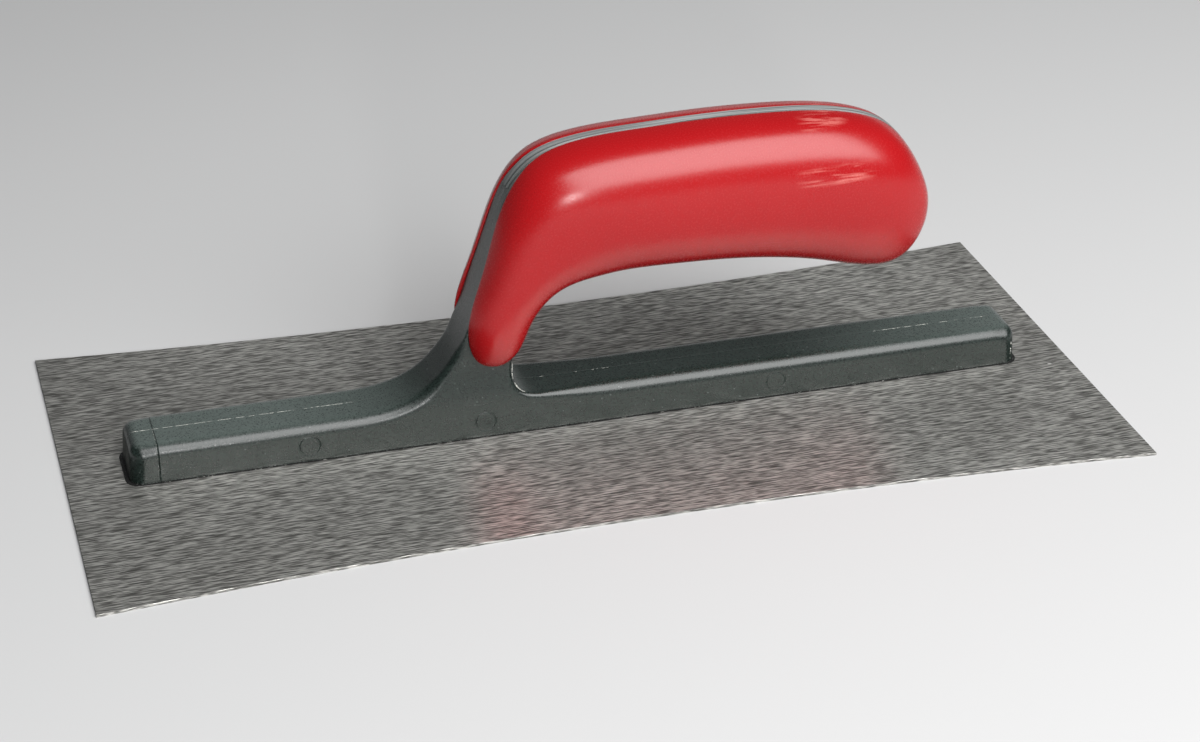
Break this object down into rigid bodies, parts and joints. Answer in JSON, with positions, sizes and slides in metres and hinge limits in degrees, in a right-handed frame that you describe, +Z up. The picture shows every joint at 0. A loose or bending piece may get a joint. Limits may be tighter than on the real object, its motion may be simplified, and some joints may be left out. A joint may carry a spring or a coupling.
{
  "type": "finishing trowel",
  "caption": "Steel finishing trowel: thin flat steel blade under a moulded foot bar, with a leaning tang and a closed hand grip above it.",
  "frame": {"origin": "middle of the blade's flat underside", "axes": "+X along the blade towards the butt of the grip, +Y across the blade to the rear half of the grip, +Z up from the work"},
  "size_m": [0.28, 0.13, 0.0829],
  "materials": {
    "blade_steel": "lengthwise ground, satin",
    "rivet_steel": "ground flush with the blade",
    "seal_black": "soft black sealant",
    "mount_plastic": "speckled dark grey-green, satin",
    "grip_plastic": "glossy signal red"
  },
  "bodies": {
    "root": {"blade": "blade_steel", "seal": "seal_black", "mount": "mount_plastic", "grip_front": "grip_plastic", "grip_rear": "grip_plastic", "blade_rivet_1": "rivet_steel", "blade_rivet_2": "rivet_steel", "blade_rivet_3": "rivet_steel", "blade_rivet_4": "rivet_steel", "blade_rivet_5": "rivet_steel", "blade_rivet_6": "rivet_steel", "blade_rivet_7": "rivet_steel", "blade_rivet_8": "rivet_steel"}
  },
  "joints": []
}
